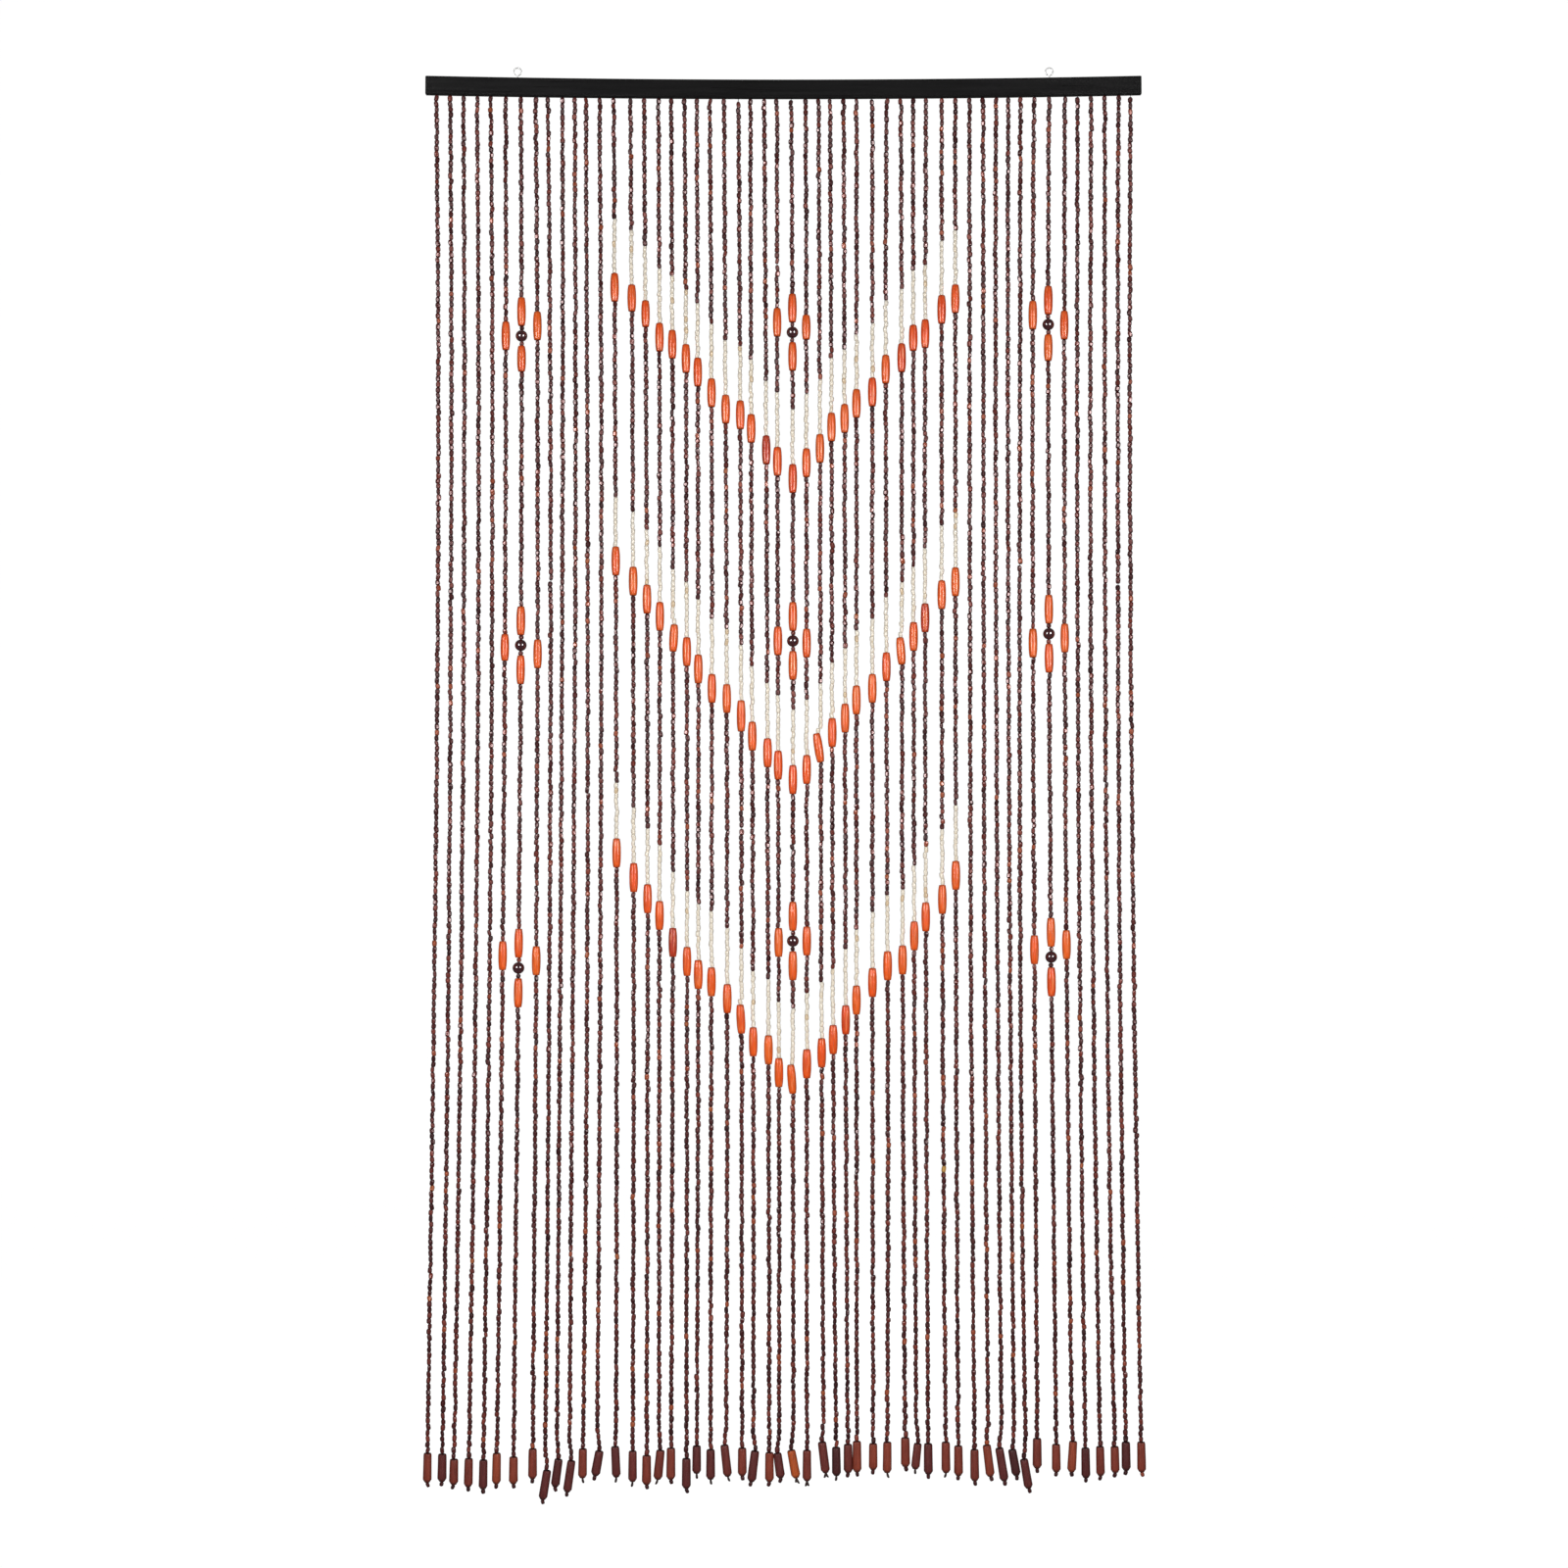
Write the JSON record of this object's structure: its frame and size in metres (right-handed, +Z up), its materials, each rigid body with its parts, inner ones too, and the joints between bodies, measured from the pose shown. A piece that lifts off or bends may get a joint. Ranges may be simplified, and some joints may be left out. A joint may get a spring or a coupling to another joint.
{
  "type": "bead curtain with batten",
  "caption": "Doorway bead curtain: beaded strands with V rows of long orange beads hang from a slim black batten with screw eyes.",
  "frame": {"origin": "middle of the batten's flat back face", "axes": "+X to the right across the curtain as its front is looked at, +Y out of the back of the curtain, +Z up"},
  "size_m": [1, 0.0164, 1.9854],
  "materials": {
    "black_paint": "satin black paint on wood",
    "steel": "plated wire",
    "dark_beads": "glossy red-brown",
    "cream_beads": "satin cream",
    "orange_tubes": "glossy orange lacquer with wood grain",
    "round_beads": "glossy dark maroon lacquer",
    "end_tubes": "satin red-brown stain",
    "thread": "twisted dark thread"
  },
  "bodies": {
    "root": {"batten": "black_paint", "eye_left": "steel", "eye_right": "steel", "strands_left": "dark_beads", "strands_middle": "dark_beads", "strands_right": "dark_beads"}
  },
  "joints": []
}
